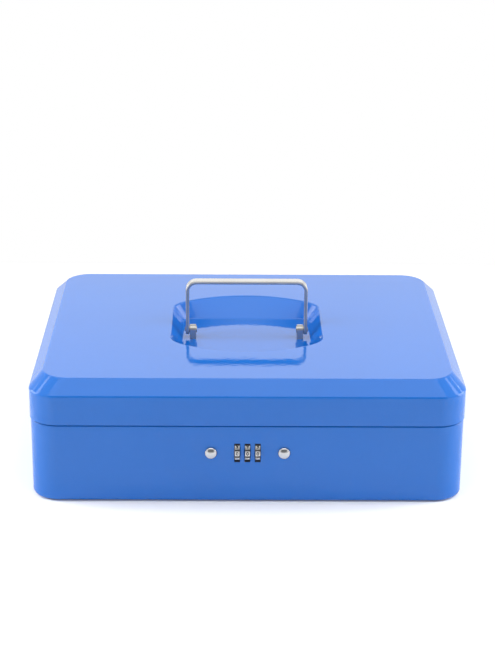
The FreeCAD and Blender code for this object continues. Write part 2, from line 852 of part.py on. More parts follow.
def cup_body(limits, growth):
    """One cup, grown by a wall or not, with round corners and a round floor."""
    x0, x1, y0, y1 = limits
    low = tray_top - tray_cup_depth - growth
    radius = cup_radius + growth
    body = rounded_block(x0 - growth, x1 + growth, y0 - growth, y1 + growth, radius, low, tray_top)
    return body.makeFillet(cup_floor_radius + growth, level_edges(body, low))


def coin_tray():
    """Moulded tray: a flat rim with cups hanging from it."""
    half, front, back = tray_limits()
    tray = rounded_block(-half, half, front, back, tray_corner_radius, tray_top - tray_rim, tray_top)
    for limits in tray_cups():
        tray = tray.fuse(cup_body(limits, tray_wall))
    for limits in tray_cups():
        tray = tray.cut(cup_body(limits, 0))
    return one_solid(tray)


def tray_rail(side):
    """Angle rail welded to a side wall, on which the tray's cups sit."""
    half, front, back = tray_limits()
    middle = (front + back) / 2
    wall = lid_width / 2 - base_inset - base_sheet
    high = tray_top - tray_cup_depth - tray_wall - tray_seat_gap
    shelf_end = half - tray_margin - cup_floor_radius - rail_bearing
    y0 = middle - rail_length / 2
    y1 = middle + rail_length / 2
    x0, x1 = sorted((side * shelf_end, side * wall))
    rail = box(x0, x1, y0, y1, high - rail_sheet, high)
    x0, x1 = sorted((side * (wall - rail_sheet), side * wall))
    return one_solid(rail.fuse(box(x0, x1, y0, y1, high - rail_drop, high)))


save("base_shell", base_shell())
save("lid_shell", lid_shell())
save("handle_bail", handle_bail())
save("handle_pivot_pins", Part.makeCompound([handle_pivot_pin(-1), handle_pivot_pin(1)]))
save("lock_case", lock_case())
save("lock_studs", lock_studs())
save("lock_nuts", lock_nuts())
save("dial_cradle", dial_cradle())
save("cradle_rivets", cradle_rivets())
save("dial_axle", dial_axle())
save("axle_rings", axle_rings())
save("detent_spring", detent_spring())
save("code_lever", code_lever())
save("strike_plate", strike_plate())
save("strike_bar", strike_bar())
save("coin_tray", coin_tray())

for place, x in dial_places.items():
    save(place + "_dial", dial(x))
    save(place + "_cam", cam(x))

for place, x in button_places.items():
    save(place + "_button", button(x))
    save(place + "_button_rings", button_rings(x))
    save(place + "_latch_hook", latch_hook(x))
    save(place + "_button_spring", button_spring(x))

for place, side in (("left", -1), ("right", 1)):
    save(place + "_handle_clip", handle_clip(side))
    save(place + "_tray_rail", tray_rail(side))
    save(place + "_hinge_base_leaf", hinge_base_leaf(side * hinge_x))
    save(place + "_hinge_lid_leaf", hinge_lid_leaf(side * hinge_x))
    save(place + "_hinge_pin", hinge_pin(side * hinge_x))

print("least gap between spring turns, mm:", round(spring_gap(), 3))
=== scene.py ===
import json
import math

import bmesh
import bpy
from mathutils import Matrix, Vector


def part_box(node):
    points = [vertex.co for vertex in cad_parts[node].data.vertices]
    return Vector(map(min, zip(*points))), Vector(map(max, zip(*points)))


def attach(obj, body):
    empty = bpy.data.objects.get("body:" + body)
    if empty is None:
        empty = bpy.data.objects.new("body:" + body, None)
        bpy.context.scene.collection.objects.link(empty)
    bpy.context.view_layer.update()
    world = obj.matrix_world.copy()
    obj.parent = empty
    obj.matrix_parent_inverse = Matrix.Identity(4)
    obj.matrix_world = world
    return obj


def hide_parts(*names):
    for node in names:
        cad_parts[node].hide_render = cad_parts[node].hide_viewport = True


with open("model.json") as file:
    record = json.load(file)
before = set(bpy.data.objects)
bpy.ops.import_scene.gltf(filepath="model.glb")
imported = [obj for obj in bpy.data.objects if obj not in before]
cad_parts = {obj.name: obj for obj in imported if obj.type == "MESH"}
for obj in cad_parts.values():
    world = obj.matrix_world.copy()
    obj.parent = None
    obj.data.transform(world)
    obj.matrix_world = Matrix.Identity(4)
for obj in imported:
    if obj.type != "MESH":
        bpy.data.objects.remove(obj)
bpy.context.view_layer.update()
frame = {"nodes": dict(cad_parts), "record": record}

MM = 0.001

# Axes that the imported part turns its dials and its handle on. The buttons are level with the dials
joints = {joint["name"]: joint for joint in frame["record"]["behaviour"]["joints"]}
DIAL_AXLE_Y, LOCK_HEIGHT = joints["middle_dial_turn"]["pos_m"][1:]
PIVOT_HEIGHT = joints["handle_fold"]["pos_m"][2]

SIDES = ("left", "right")
DIAL_PLACES = ("left", "middle", "right")

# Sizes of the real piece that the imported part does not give, in metres
SHEET = 1.0 * MM
LID_CORNER = 20.0 * MM
TOP_CORNER = 18.0 * MM
BEVEL_IN = 9.4 * MM
BEVEL_DROP = 9.9 * MM
SKIRT_BEND = 2.4 * MM
TOP_BEND = 1.6 * MM
BASE_CORNER = 19.4 * MM
BASE_EDGE = 3.2 * MM
BASE_TOP = 56.4 * MM
SHOULDER_BEND = 0.7 * MM
SHOULDER_WIDTH = 0.9 * MM

DISH_HALF_WIDTH = 55.2 * MM
DISH_HALF_SIDE = 37.6 * MM
DISH_HALF_LENGTH = 58.9 * MM
DISH_DEPTH = 12.0 * MM
DISH_FLOOR_HALF_WIDTH = 47.0 * MM
DISH_FLOOR_HALF_LENGTH = 39.5 * MM
DISH_RING = 3.0 * MM
DISH_ROUND = 1.1 * MM
DISH_LIP_CORNER = 9.0 * MM
DISH_FLOOR_CORNER = 6.0 * MM

STRIP_THICKNESS = 2.6 * MM
STRIP_EDGE = 0.9 * MM
HANDLE_BEND = 8.0 * MM
CLIP_SHEET = 1.2 * MM
CLIP_EDGE = 0.25 * MM

SLOT_WIDTH = 4.0 * MM
SLOT_HEIGHT = 13.8 * MM
SHANK_HOLE = 2.35 * MM
HOLE_PATCH = 4.0 * MM
# Thin black cards in the ends of the dial slots: painted shade
SLOT_SHADE_START = 5.3 * MM
SLOT_SHADE_SET_BACK = 0.05 * MM
SLOT_SHADE_DEPTH = 0.1 * MM
DIAL_RADIUS = 8.0 * MM
DIAL_BORE = 2.05 * MM
DIAL_EDGE = 0.3 * MM
GROOVE_RADIUS = 0.9 * MM
GROOVE_DEPTH = 0.45 * MM
# The wheel is dark from this far below its rim (groove paint and painted shade) and fully silver from the
# next
GROOVE_PAINT_AND_SHADE_BELOW_FACE = 0.22 * MM
SILVER_BELOW_FACE = 0.1 * MM
DIGITS = 10
DIGIT_HEIGHT = 2.5 * MM
DIGIT_PROUD = 0.03 * MM
DIGIT_BOLD = 0.13 * MM
# The font's own size for numbers of that height
FONT_SIZE = 1.4 * DIGIT_HEIGHT
BUTTON_DOME = 0.85 * MM
BUTTON_DOME_RADIUS = 3.2 * MM
BUTTON_STAND_OFF = 0.35 * MM
BUTTON_SHANK = 2.2 * MM

TRAY_SKIRT = 2.0 * MM
TRAY_CORNER = 18.0 * MM
TRAY_WALL = 0.85 * MM
TRAY_DIVIDER = 1.8 * MM
TRAY_MARGIN = 7.0 * MM
CUP_DEPTH = 28.0 * MM
CUP_CORNER = 6.0 * MM
CUP_FLOOR_ROUND = 5.4 * MM
CUP_LIP = 0.7 * MM
CUP_LIP_ROUND = 0.6 * CUP_LIP
COIN_ROW = 74.0 * MM
COIN_CUPS = 5
NOTE_BAYS = 3

# Steps along round stretches
SHELL_CORNER_STEPS = 20
SKIRT_BEND_STEPS = 6
TOP_BEND_STEPS = 5
BASE_EDGE_STEPS = 8
SHOULDER_BEND_STEPS = 4
DISH_CORNER_STEPS = 6
DISH_ARC_STEPS = 40
DISH_SIDE_STEPS = 26
DISH_ROUND_STEPS = 5
STRIP_EDGE_STEPS = 5
HANDLE_BEND_STEPS = 14
FOOT_STEPS = 8
CLIP_BEND_STEPS = 20
CLIP_EDGE_STEPS = 2
SHANK_HOLE_STEPS = 32
DIAL_STEPS = 200
DIAL_EDGE_STEPS = 3
DIGIT_CURVE_STEPS = 4
BUTTON_PROFILE_STEPS = 12
BUTTON_TURN_STEPS = 64
TRAY_CORNER_STEPS = 10
CUP_CORNER_STEPS = 8
CUP_FLOOR_STEPS = 6
CUP_LIP_STEPS = 2

# The handle's round foot stops this share of a step short of a point, so that it can be closed
FOOT_STOP_SHORT = 0.25

# Edges between faces that turn by more than these angles are drawn sharp or eased
SHEET_SHARP = math.radians(34)
STRIP_SHARP = math.radians(40)
CAP_SHARP = math.radians(50)
EASED_EDGE = math.radians(50)

# The stage, with lengths in metres
FLOOR_WIDTH = 4.0
FLOOR_DEPTH = 3.0
FLOOR_PLACE = (0, -1.1, -0.2 * MM)
FLOOR_FADE_START = 700 * MM
FLOOR_FADE_END = 1100 * MM
CARD_WIDTH = 3.0
CARD_HEIGHT = 1.6
CARD_PLACE = (0, -2.2, 0.9)
CARD_TILT = math.radians(75)
FILL_LIGHT = 0.2

# The viewpoint, found from the photographed edges of the lid and the base
# The lens and the sensor are in millimetres, the angles in radians
LENS = 94.23
SENSOR_WIDTH = 36.0
CAMERA_PLACE = (-13.47 * MM, -1196.06 * MM, 529.25 * MM)
CAMERA_PITCH = 0.3579
CAMERA_YAW = 0.0119
CAMERA_ROLL = 0.0079

UP = Vector((0, 0, 1))
DOWN = Vector((0, 0, -1))
QUARTER_TURN = math.pi / 2

# Places closer than this are one place
SAME = 1e-6
# Faces look one way where the cosine of the angle between their normals is above this
SAME_WAY = 0.999


def tint(code):
    """The linear colour of an sRGB hex code."""
    values = [int(code[i:i + 2], 16) / 255 for i in (1, 3, 5)]
    return tuple(v / 12.92 if v <= 0.04045 else ((v + 0.055) / 1.055) ** 2.4 for v in values) + (1.0,)


def node(tree, kind, inputs=None, **settings):
    """Adds one shader node. Its inputs are values, other nodes (their first live output) or named outputs."""
    made = tree.nodes.new("ShaderNode" + kind)
    for name, value in settings.items():
        setattr(made, name, value)
    for name, value in (inputs or {}).items():
        if isinstance(value, bpy.types.Node):
            value = next(socket for socket in value.outputs if socket.enabled)
        if isinstance(value, bpy.types.NodeSocket):
            tree.links.new(value, made.inputs[name])
        else:
            made.inputs[name].default_value = value
    return made


def new_material(name):
    """A material with no nodes yet but the object's own coordinates."""
    material = bpy.data.materials.new(name)
    material.use_nodes = True
    tree = material.node_tree
    tree.nodes.clear()
    return material, tree, node(tree, "TexCoord").outputs["Object"]


def blue_paint():
    """Glossy powder coat: the faint ripple breaks reflections as baked paint does on sheet steel."""
    material, tree, place = new_material("glossy_blue_powder_coat_on_steel")
    cloud = node(tree, "TexNoise", {"Vector": place, "Scale": 1 / (60 * MM)})
    haze = node(tree, "TexNoise", {"Vector": place, "Scale": 1 / (9 * MM)})
    peel = node(tree, "TexNoise", {"Vector": place, "Scale": 1 / (3.6 * MM)})
    ripple = node(tree, "Bump", {"Height": peel, "Strength": 1.0, "Distance": 0.045 * MM})
    blue = node(tree, "Mix", {0: cloud, 6: tint("#0B61B9"), 7: tint("#0E65BE")}, data_type="RGBA")
    dulled = node(tree, "MapRange", {
        "Value": haze, "From Min": 0.3, "From Max": 0.7, "To Min": 0.02, "To Max": 0.05})
    shader = node(tree, "BsdfPrincipled", {
        "Base Color": blue, "Roughness": dulled, "Normal": ripple, "IOR": 1.52})
    node(tree, "OutputMaterial", {"Surface": shader})
    return material


def nickel_strip():
    """Bright nickel on rolled strip: fine lines along the strip draw the highlights out."""
    material, tree, place = new_material("bright_nickel_plate_on_rolled_strip")
    cloud = node(tree, "TexNoise", {"Vector": place, "Scale": 1 / (14 * MM)})
    along = node(tree, "Mapping", {"Vector": place, "Scale": (0.05, 1.0, 0.05)})
    # Rolling lines are finer than this, drawn coarser so that they show
    lines = node(tree, "TexNoise", {"Vector": along, "Scale": 1 / (0.8 * MM), "Detail": 3.0})
    nickel = node(tree, "Mix", {0: cloud, 6: tint("#B1AFAB"), 7: tint("#BEBCB8")}, data_type="RGBA")
    dulled = node(tree, "MapRange", {
        "Value": lines, "From Min": 0.3, "From Max": 0.7, "To Min": 0.1, "To Max": 0.2})
    shader = node(tree, "BsdfPrincipled", {"Base Color": nickel, "Metallic": 0.7, "Roughness": dulled})
    node(tree, "OutputMaterial", {"Surface": shader})
    return material


def chrome_cap():
    """Polished chrome on a turned cap: nearly a mirror, with faint haze from handling."""
    material, tree, place = new_material("polished_chrome_on_turned_cap")
    haze = node(tree, "TexNoise", {"Vector": place, "Scale": 1 / (1.6 * MM), "Detail": 4.0})
    chrome = node(tree, "Mix", {0: haze, 6: tint("#B9BBBE"), 7: tint("#CBCCCE")}, data_type="RGBA")
    dulled = node(tree, "MapRange", {
        "Value": haze, "From Min": 0.35, "From Max": 0.7, "To Min": 0.08, "To Max": 0.16})
    shader = node(tree, "BsdfPrincipled", {"Base Color": chrome, "Metallic": 1.0, "Roughness": dulled})
    node(tree, "OutputMaterial", {"Surface": shader})
    return material


def satin_dial():
    """Satin die-cast silver: a soft grain on the faces, and dark in the grooves and on the sides. The dark is
    partly the wheel's own groove paint and partly painted shade, which stands for the shade inside the slot's
    ends where the wheel turns away.
    """
    material, tree, place = new_material("satin_silver_on_die_cast_wheel")
    across = node(tree, "Mapping", {"Vector": place, "Scale": (0.25, 1.0, 1.0)})
    # The grain is finer than this, drawn coarser so that it shows in a close view
    grain = node(tree, "TexNoise", {"Vector": across, "Scale": 1 / (0.22 * MM), "Detail": 3.0})
    flat = node(tree, "VectorMath", {0: place, 1: (0.0, 1.0, 1.0)}, operation="MULTIPLY")
    radius = node(tree, "VectorMath", {0: flat, 1: (0.0, DIAL_AXLE_Y, LOCK_HEIGHT)}, operation="DISTANCE")
    face = node(tree, "MapRange", {
        "Value": radius,
        "From Min": DIAL_RADIUS - GROOVE_PAINT_AND_SHADE_BELOW_FACE, "From Max": DIAL_RADIUS - SILVER_BELOW_FACE})
    silver = node(tree, "Mix", {0: grain, 6: tint("#BDBDBD"), 7: tint("#E0E0DE")}, data_type="RGBA")
    # Dark grooves and sides: partly the wheel's own paint, partly painted shade for the slot's ends
    filled = node(tree, "Mix", {0: face, 6: tint("#2C2C2E"), 7: silver}, data_type="RGBA")
    dulled = node(tree, "MapRange", {
        "Value": grain, "From Min": 0.3, "From Max": 0.7, "To Min": 0.26, "To Max": 0.42})
    shader = node(tree, "BsdfPrincipled", {"Base Color": filled, "Metallic": face, "Roughness": dulled})
    node(tree, "OutputMaterial", {"Surface": shader})
    return material


def dial_ink():
    """Black paint wiped into the wheel's numbers: dull, slightly uneven in depth. It also colours the black
    cards of painted shade in the slot ends.
    """
    material, tree, place = new_material("black_paint_filled_numbers")
    wear = node(tree, "TexNoise", {"Vector": place, "Scale": 1 / (0.5 * MM), "Detail": 3.0})
    black = node(tree, "Mix", {0: wear, 6: tint("#050506"), 7: tint("#101114")}, data_type="RGBA")
    dulled = node(tree, "MapRange", {"Value": wear, "To Min": 0.5, "To Max": 0.7})
    shader = node(tree, "BsdfPrincipled", {
        "Base Color": black, "Roughness": dulled, "Specular IOR Level": 0.2})
    node(tree, "OutputMaterial", {"Surface": shader})
    return material


def zinc_sheet():
    """Zinc-plated sheet: pale flakes of crystal in a half-dull grey."""
    material, tree, place = new_material("zinc_plated_pressed_sheet")
    flakes = node(tree, "TexVoronoi", {"Vector": place, "Scale": 1 / (2.4 * MM)})
    shade = node(tree, "RGBToBW", {"Color": flakes.outputs["Color"]})
    zinc = node(tree, "Mix", {0: shade, 6: tint("#A9ACB1"), 7: tint("#C6C9CC")}, data_type="RGBA")
    dulled = node(tree, "MapRange", {"Value": shade, "To Min": 0.3, "To Max": 0.46})
    shader = node(tree, "BsdfPrincipled", {"Base Color": zinc, "Metallic": 1.0, "Roughness": dulled})
    node(tree, "OutputMaterial", {"Surface": shader})
    return material


def bright_steel():
    """Drawn steel wire and turned pins: plain bright metal with fine drawing lines."""
    material, tree, place = new_material("bright_drawn_steel")
    along = node(tree, "Mapping", {"Vector": place, "Scale": (0.2, 1.0, 1.0)})
    # Drawing lines are finer than this, drawn coarser so that they show in a close view
    lines = node(tree, "TexNoise", {"Vector": along, "Scale": 1 / (0.3 * MM), "Detail": 3.0})
    steel = node(tree, "Mix", {0: lines, 6: tint("#A4A5A8"), 7: tint("#BDBEC0")}, data_type="RGBA")
    dulled = node(tree, "MapRange", {
        "Value": lines, "From Min": 0.3, "From Max": 0.7, "To Min": 0.2, "To Max": 0.36})
    shader = node(tree, "BsdfPrincipled", {"Base Color": steel, "Metallic": 1.0, "Roughness": dulled})
    node(tree, "OutputMaterial", {"Surface": shader})
    return material


def tray_plastic():
    """Moulded black plastic: a fine spark-eroded grain that spreads its shine."""
    material, tree, place = new_material("grained_black_injection_moulding")
    cloud = node(tree, "TexNoise", {"Vector": place, "Scale": 1 / (30 * MM)})
    # The mould's grain is about 0.1 mm, drawn coarser so that it shows
    grain = node(tree, "TexNoise", {"Vector": place, "Scale": 1 / (0.8 * MM), "Detail": 3.0})
    ripple = node(tree, "Bump", {"Height": grain, "Strength": 1.0, "Distance": 0.02 * MM})
    black = node(tree, "Mix", {0: cloud, 6: tint("#1B1C1F"), 7: tint("#222327")}, data_type="RGBA")
    dulled = node(tree, "MapRange", {
        "Value": grain, "From Min": 0.3, "From Max": 0.7, "To Min": 0.42, "To Max": 0.56})
    shader = node(tree, "BsdfPrincipled", {"Base Color": black, "Roughness": dulled, "Normal": ripple})
    node(tree, "OutputMaterial", {"Surface": shader})
    return material


PAINT = blue_paint()
NICKEL = nickel_strip()
CHROME = chrome_cap()
DIAL = satin_dial()
NUMBER_INK_AND_SLOT_SHADE = dial_ink()
ZINC = zinc_sheet()
STEEL = bright_steel()
PLASTIC = tray_plastic()


def add_piece(bm, name, body, material, stands_for=(), sharp=SHEET_SHARP):
    """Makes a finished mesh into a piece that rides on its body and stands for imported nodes."""
    mesh = bpy.data.meshes.new(name)
    bm.to_mesh(mesh)
    bm.free()
    mesh.shade_smooth()
    mesh.set_sharp_from_angle(angle=sharp)
    mesh.materials.append(material)
    piece = bpy.data.objects.new(name, mesh)
    bpy.context.scene.collection.objects.link(piece)
    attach(piece, body)
    if stands_for:
        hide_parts(*stands_for)
    return piece


def thicken(piece, thickness):
    """Gives a surface the thickness of its sheet, on its inside."""
    made = piece.modifiers.new("sheet", "SOLIDIFY")
    made.thickness = thickness
    made.offset = -1.0


def ease_edges(piece, width, steps):
    """Breaks the sharp edges of a piece."""
    made = piece.modifiers.new("eased_edges", "BEVEL")
    made.width = width
    made.segments = steps
    made.limit_method = "ANGLE"
    made.angle_limit = EASED_EDGE


def weigh_normals(piece):
    """Lets the large flat faces set the shading, so that only the bends look round."""
    made = piece.modifiers.new("weighted_normals", "WEIGHTED_NORMAL")
    made.keep_sharp = True


def block(bm, low, high):
    """A plain block between two corners."""
    place = Matrix.Translation((low + high) / 2) @ Matrix.Diagonal((*(high - low), 1.0))
    bmesh.ops.create_cube(bm, size=1.0, matrix=place)


def round_edges(bm, edges, offset, steps):
    """Rounds edges, from one offset away on either side."""
    bmesh.ops.bevel(
        bm, geom=list(edges), offset=offset, offset_type="OFFSET", affect="EDGES",
        segments=steps, profile=0.5, material=-1, clamp_overlap=True, loop_slide=True)


def rounded_plate(bm, centre, width, depth, corner, steps):
    """A level face: a rectangle with round corners."""
    known = set(bm.faces)
    place = Matrix.Translation(centre) @ Matrix.Diagonal((width, depth, 1.0, 1.0))
    verts = bmesh.ops.create_grid(bm, x_segments=1, y_segments=1, size=0.5, matrix=place)["verts"]
    bmesh.ops.bevel(
        bm, geom=verts, offset=corner, offset_type="OFFSET", affect="VERTICES",
        segments=steps, profile=0.5, material=-1)
    return next(f for f in bm.faces if f not in known)


def level_edges(bm, z):
    """Edges that lie wholly at one height."""
    return [e for e in bm.edges if all(abs(v.co.z - z) < SAME for v in e.verts)]


def upright_edges(bm):
    """Edges that stand straight up."""
    return [e for e in bm.edges if (e.verts[0].co.xy - e.verts[1].co.xy).length < SAME]


def face_towards(bm, direction):
    """The largest face that looks one way."""
    bm.normal_update()
    found = [f for f in bm.faces if f.normal.dot(direction) > SAME_WAY]
    return max(found, key=lambda f: f.calc_area())


def middle_x(name):
    """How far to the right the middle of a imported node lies."""
    low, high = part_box(name)
    return (low.x + high.x) / 2


def fill_between(bm, edges, normal):
    """Fills the flat space between closed loops. It is filled at a thousand times its size, to be exact."""
    bmesh.ops.scale(bm, vec=Vector((1, 1, 1)) / MM, verts=bm.verts)
    bmesh.ops.triangle_fill(bm, edges=edges, use_beauty=True, normal=normal)
    bmesh.ops.scale(bm, vec=Vector((1, 1, 1)) * MM, verts=bm.verts)


def look_out(bm, place, direction):
    """Turns all faces the same way, so that the face nearest a place looks in a direction."""
    bmesh.ops.recalc_face_normals(bm, faces=bm.faces)
    nearest = min(bm.faces, key=lambda f: (f.calc_center_median() - place).length)
    if nearest.normal.dot(direction) < 0:
        bmesh.ops.reverse_faces(bm, faces=bm.faces)


def shares(steps, length, corner):
    """Shares of the way along one side of the dish: close together near its corners, even between them."""
    start = corner / length
    near = [start * k / DISH_CORNER_STEPS for k in range(DISH_CORNER_STEPS)]
    inner = steps - 2 * DISH_CORNER_STEPS
    middle = [start + (1 - 2 * start) * k / inner for k in range(inner + 1)]
    return near + middle + [1 - share for share in reversed(near[1:])]


def barrel(half_width, half_side, half_length, ends, sides):
    """Points round an outline with two straight sides and two bowed ends, at shares of the way along each."""
    bow = half_length - half_side
    radius = (half_width ** 2 + bow ** 2) / (2 * bow) if bow > SAME else None
    points = []
    for turn in (-1, 1):
        for share in ends:
            x = half_width * (2 * share - 1)
            y = half_length - radius + math.sqrt(radius ** 2 - x ** 2) if radius else half_side
            points.append(Vector((-turn * x, turn * y)))
        points += [Vector((-turn * half_width, turn * half_side * (1 - 2 * share))) for share in sides]
    return points


def rounded_barrel(half_width, half_side, half_length, corner):
    """A barrel outline whose four corners are curves that start one corner size away from them."""
    ends = shares(DISH_ARC_STEPS, 2 * half_width, corner)
    sides = shares(DISH_SIDE_STEPS, 2 * half_side, corner)
    points = barrel(half_width, half_side, half_length, ends, sides)
    count = len(points)
    reach = DISH_CORNER_STEPS
    for tip in (0, DISH_ARC_STEPS, count // 2, count // 2 + DISH_ARC_STEPS):
        first, middle, last = (points[(tip + k) % count].copy() for k in (-reach, 0, reach))
        for k in range(-reach, reach + 1):
            u = (k + reach) / (2 * reach)
            points[(tip + k) % count] = first * (1 - u) ** 2 + middle * (2 * u * (1 - u)) + last * u ** 2
    return points


def extrude_loop(bm, edges, move):
    """Draws a loop of edges on by a move and gives the new loop."""
    made = bmesh.ops.extrude_edge_only(bm, edges=edges)["geom"]
    bmesh.ops.translate(bm, verts=[g for g in made if isinstance(g, bmesh.types.BMVert)], vec=move)
    return [g for g in made if isinstance(g, bmesh.types.BMEdge)]


def cut_across(bm, faces, place, normal):
    """Splits some faces by a plane and gives all their parts."""
    geom = list({g for f in faces for g in (f, *f.edges, *f.verts)})
    made = bmesh.ops.bisect_plane(bm, geom=geom, dist=SAME, plane_co=place, plane_no=normal)["geom"]
    return [g for g in made if isinstance(g, bmesh.types.BMFace)]


def move_to(vert, old, new, z):
    """Moves a vertex from its point in one outline to the same point in another."""
    index = min(range(len(old)), key=lambda i: (vert.co.xy - old[i]).length)
    vert.co = (*new[index], z)


def draw_to(bm, edges, old, new, z):
    """Draws a loop on from its old points to new ones at another height and gives the new loop."""
    edges = extrude_loop(bm, edges, (0, 0, 0))
    for vert in {v for e in edges for v in e.verts}:
        move_to(vert, old, new, z)
    return edges


def widen_corner(vert, half):
    """Moves a corner point of the flat top from the skirt's corner circle, drawn in, to the top's own."""
    side = Vector((math.copysign(1, vert.co.x), math.copysign(1, vert.co.y)))
    skirt_centre = Vector((side.x * (half.x - LID_CORNER), side.y * (half.y - LID_CORNER)))
    reach = BEVEL_IN + TOP_CORNER
    top_centre = Vector((side.x * (half.x - reach), side.y * (half.y - reach)))
    vert.co.xy = top_centre + (vert.co.xy - skirt_centre).normalized() * TOP_CORNER


def open_top(bm, z):
    """Cuts a rectangle out of the flat top, and gives its border and that border's points."""
    wide = DISH_HALF_WIDTH + DISH_RING
    long = DISH_HALF_LENGTH + DISH_RING
    cells = [face_towards(bm, UP)]
    for sign in (-1, 1):
        cells = cut_across(bm, cells, (sign * wide, 0, 0), (1, 0, 0))
        cells = cut_across(bm, cells, (0, sign * long, 0), (0, 1, 0))
    middle = min(cells, key=lambda f: f.calc_center_median().xy.length)
    border = list(middle.edges)
    bmesh.ops.delete(bm, geom=[middle], context="FACES_ONLY")
    across = [e for e in border if abs(e.verts[0].co.y - e.verts[1].co.y) < SAME]
    along = [e for e in border if e not in across]
    bmesh.ops.bisect_edges(bm, edges=across, cuts=DISH_ARC_STEPS - 1)
    bmesh.ops.bisect_edges(bm, edges=along, cuts=DISH_SIDE_STEPS - 1)
    hole = [e for e in level_edges(bm, z) if e.is_boundary]
    evenly = barrel(
        wide, long, long,
        [k / DISH_ARC_STEPS for k in range(DISH_ARC_STEPS)],
        [k / DISH_SIDE_STEPS for k in range(DISH_SIDE_STEPS)])
    rectangle = barrel(
        wide, long, long,
        shares(DISH_ARC_STEPS, 2 * wide, DISH_LIP_CORNER),
        shares(DISH_SIDE_STEPS, 2 * long, DISH_LIP_CORNER))
    for vert in {v for e in hole for v in e.verts}:
        move_to(vert, evenly, rectangle, z)
    return hole, rectangle


def sink_dish(bm, z):
    """Sinks the dish into the flat top: bowed lip, slanted walls and a level floor."""
    hole, rectangle = open_top(bm, z)
    lip_points = rounded_barrel(DISH_HALF_WIDTH, DISH_HALF_SIDE, DISH_HALF_LENGTH, DISH_LIP_CORNER)
    floor_points = rounded_barrel(
        DISH_FLOOR_HALF_WIDTH, DISH_FLOOR_HALF_LENGTH, DISH_FLOOR_HALF_LENGTH, DISH_FLOOR_CORNER)
    lip = draw_to(bm, hole, rectangle, lip_points, z)
    floor = draw_to(bm, lip, lip_points, floor_points, z - DISH_DEPTH)
    bmesh.ops.edgeloop_fill(bm, edges=floor)
    bmesh.ops.recalc_face_normals(bm, faces=bm.faces)
    round_edges(bm, lip + floor, DISH_ROUND, DISH_ROUND_STEPS)


def lid():
    """Pressed lid: skirt, slanted bevel, flat top and the sunken dish."""
    low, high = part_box("lid_shell")
    skirt_top = high.z - BEVEL_DROP
    slope = math.atan2(BEVEL_DROP, BEVEL_IN)
    bm = bmesh.new()
    block(bm, low, Vector((high.x, high.y, skirt_top)))
    round_edges(bm, upright_edges(bm), LID_CORNER, SHELL_CORNER_STEPS)
    top = face_towards(bm, UP)
    bmesh.ops.inset_region(bm, faces=[top], thickness=BEVEL_IN, use_even_offset=True, use_boundary=True)
    for vert in top.verts:
        widen_corner(vert, high.xy)
    bmesh.ops.translate(bm, verts=top.verts, vec=(0, 0, BEVEL_DROP))
    bmesh.ops.delete(bm, geom=[face_towards(bm, DOWN)], context="FACES_ONLY")
    skirt_round = SKIRT_BEND * math.tan((QUARTER_TURN - slope) / 2)
    round_edges(bm, level_edges(bm, skirt_top), skirt_round, SKIRT_BEND_STEPS)
    top_round = TOP_BEND * math.tan(slope / 2)
    round_edges(bm, level_edges(bm, high.z), top_round, TOP_BEND_STEPS)
    sink_dish(bm, high.z)
    look_out(bm, Vector((0, 0, high.z - DISH_DEPTH)), UP)
    piece = add_piece(bm, "painted_lid", "lid", PAINT, ["lid_shell"])
    thicken(piece, SHEET)
    weigh_normals(piece)


def window(bm, x, half_width, half_height):
    """Opens a rectangle in the front wall, at the lock's height, and gives its border."""
    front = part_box("base_shell")[0].y

    def inside(face):
        centre = face.calc_center_median()
        return abs(centre.x - x) < half_width and abs(centre.z - LOCK_HEIGHT) < half_height

    faces = [f for f in bm.faces if all(abs(v.co.y - front) < SAME for v in f.verts)]
    for side in (-1, 1):
        faces = cut_across(bm, faces, (x + side * half_width, 0, 0), (1, 0, 0))
    for side in (-1, 1):
        faces = cut_across(bm, faces, (0, 0, LOCK_HEIGHT + side * half_height), UP)
    gone = [f for f in faces if inside(f)]
    border = [e for f in gone for e in f.edges]
    bmesh.ops.delete(bm, geom=gone, context="FACES_ONLY")
    return border


def button_hole(bm, x, front):
    """Opens a round hole for a button's shank in the front wall."""
    border = window(bm, x, HOLE_PATCH, HOLE_PATCH)
    place = Matrix.Translation((x, front, LOCK_HEIGHT)) @ Matrix.Rotation(QUARTER_TURN, 4, "X")
    verts = bmesh.ops.create_circle(
        bm, cap_ends=False, radius=SHANK_HOLE, segments=SHANK_HOLE_STEPS, matrix=place)["verts"]
    hole = list({e for v in verts for e in v.link_edges})
    fill_between(bm, border + hole, (0, -1, 0))


def tub():
    """Drawn tub with its rounded bottom edge, the joggled neck, dial slots and button holes."""
    low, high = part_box("base_shell")
    bm = bmesh.new()
    block(bm, low, Vector((high.x, high.y, BASE_TOP)))
    round_edges(bm, upright_edges(bm), BASE_CORNER, SHELL_CORNER_STEPS)
    round_edges(bm, level_edges(bm, low.z), BASE_EDGE, BASE_EDGE_STEPS)
    round_edges(bm, level_edges(bm, BASE_TOP), SHOULDER_BEND, SHOULDER_BEND_STEPS)
    top = face_towards(bm, UP)
    bmesh.ops.inset_region(
        bm, faces=[top], thickness=SHOULDER_WIDTH - SHOULDER_BEND, use_even_offset=True, use_boundary=True)
    neck = list(top.edges)
    bmesh.ops.delete(bm, geom=[top], context="FACES_ONLY")
    extrude_loop(bm, neck, (0, 0, high.z - BASE_TOP))
    for place in DIAL_PLACES:
        window(bm, middle_x(place + "_dial"), SLOT_WIDTH / 2, SLOT_HEIGHT / 2)
    for side in SIDES:
        button_hole(bm, middle_x(side + "_button"), low.y)
    look_out(bm, Vector((0, 0, low.z)), DOWN)
    piece = add_piece(bm, "painted_tub", "base", PAINT, ["base_shell"])
    thicken(piece, SHEET)
    weigh_normals(piece)


